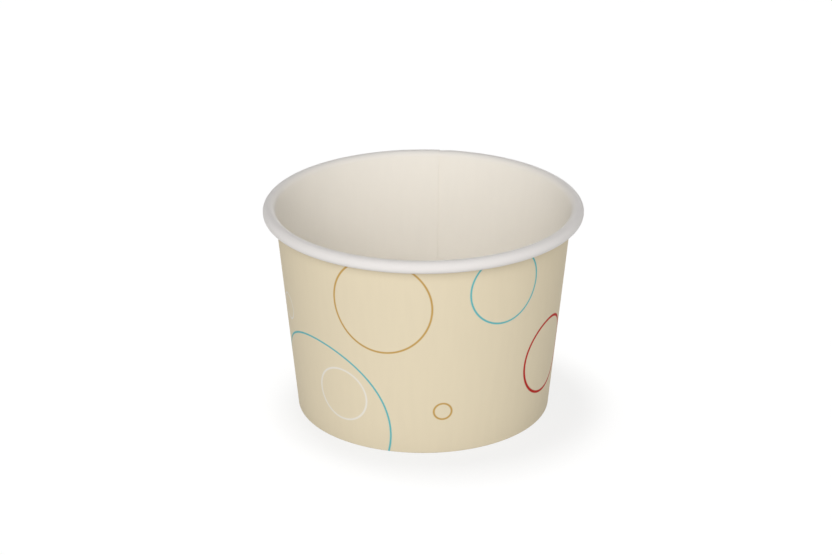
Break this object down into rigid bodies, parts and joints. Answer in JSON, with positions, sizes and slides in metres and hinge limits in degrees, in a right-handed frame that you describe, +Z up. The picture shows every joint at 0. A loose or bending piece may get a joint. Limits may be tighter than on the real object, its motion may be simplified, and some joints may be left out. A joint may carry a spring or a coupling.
{
  "type": "paper dessert cup",
  "caption": "Round tapered paper cup with a rolled rim, a lap seam at the back and a raised bottom glued into a folded hem, for serving ice cream or other desserts.",
  "frame": {"origin": "middle of the foot, on the surface that the cup stands on", "axes": "+Z up along the cup's axis, the seam at the back towards +Y"},
  "size_m": [0.096, 0.096, 0.0645],
  "materials": {
    "printed_board": "satin print on coated board",
    "coated_board": "satin coated board, unprinted"
  },
  "bodies": {
    "root": {"sidewall": "printed_board", "bottom_disc": "coated_board"}
  },
  "joints": []
}
